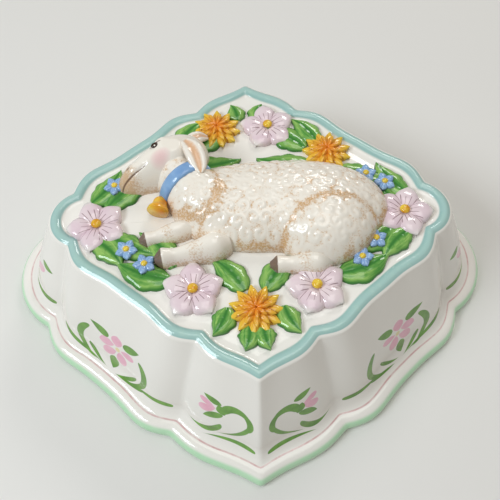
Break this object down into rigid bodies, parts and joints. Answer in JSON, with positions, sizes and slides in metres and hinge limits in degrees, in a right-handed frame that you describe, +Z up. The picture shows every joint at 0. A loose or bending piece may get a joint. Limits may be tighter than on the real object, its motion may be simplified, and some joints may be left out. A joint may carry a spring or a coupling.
{
  "type": "jelly mould",
  "caption": "Hollow bracket-shaped ceramic jelly mould on a rolled foot, open below, with a resting lamb in a wreath of leaves and blossoms in relief on its top.",
  "frame": {"origin": "centre of the underside of the foot, on the surface that the mould stands on", "axes": "+Z up, out of the relief; +X along the long diagonal through the two round lobes, towards the lamb's rump; +Y along the short diagonal, towards the lamb's back"},
  "size_m": [0.24, 0.22, 0.0773],
  "materials": {
    "body_glaze": "glossy white glaze with painted bands and sprays",
    "fleece_glaze": "glossy cream glaze shaded with tan stipple",
    "leaf_glaze": "glossy green underglaze colour, dark at the edges",
    "pink_glaze": "glossy pale pink underglaze colour with fine veins",
    "yellow_glaze": "glossy yellow underglaze colour",
    "orange_glaze": "glossy orange and yellow underglaze colour",
    "blue_glaze": "glossy pale blue underglaze colour"
  },
  "bodies": {
    "root": {"mould_shell": "body_glaze", "lamb_body": "fleece_glaze", "lamb_head": "fleece_glaze", "lamb_near_ear": "fleece_glaze", "lamb_far_ear": "fleece_glaze", "lamb_near_foreleg": "fleece_glaze", "lamb_far_foreleg": "fleece_glaze", "lamb_hind_foot": "fleece_glaze", "lamb_tail": "fleece_glaze", "neck_band": "blue_glaze", "neck_bell": "yellow_glaze", "daisies": "pink_glaze", "daisy_eyes": "yellow_glaze", "marigolds": "orange_glaze", "forget_me_nots": "blue_glaze", "leaves_front_right": "leaf_glaze", "leaves_front_left": "leaf_glaze", "leaves_back_right": "leaf_glaze", "leaves_back_left": "leaf_glaze"}
  },
  "joints": []
}
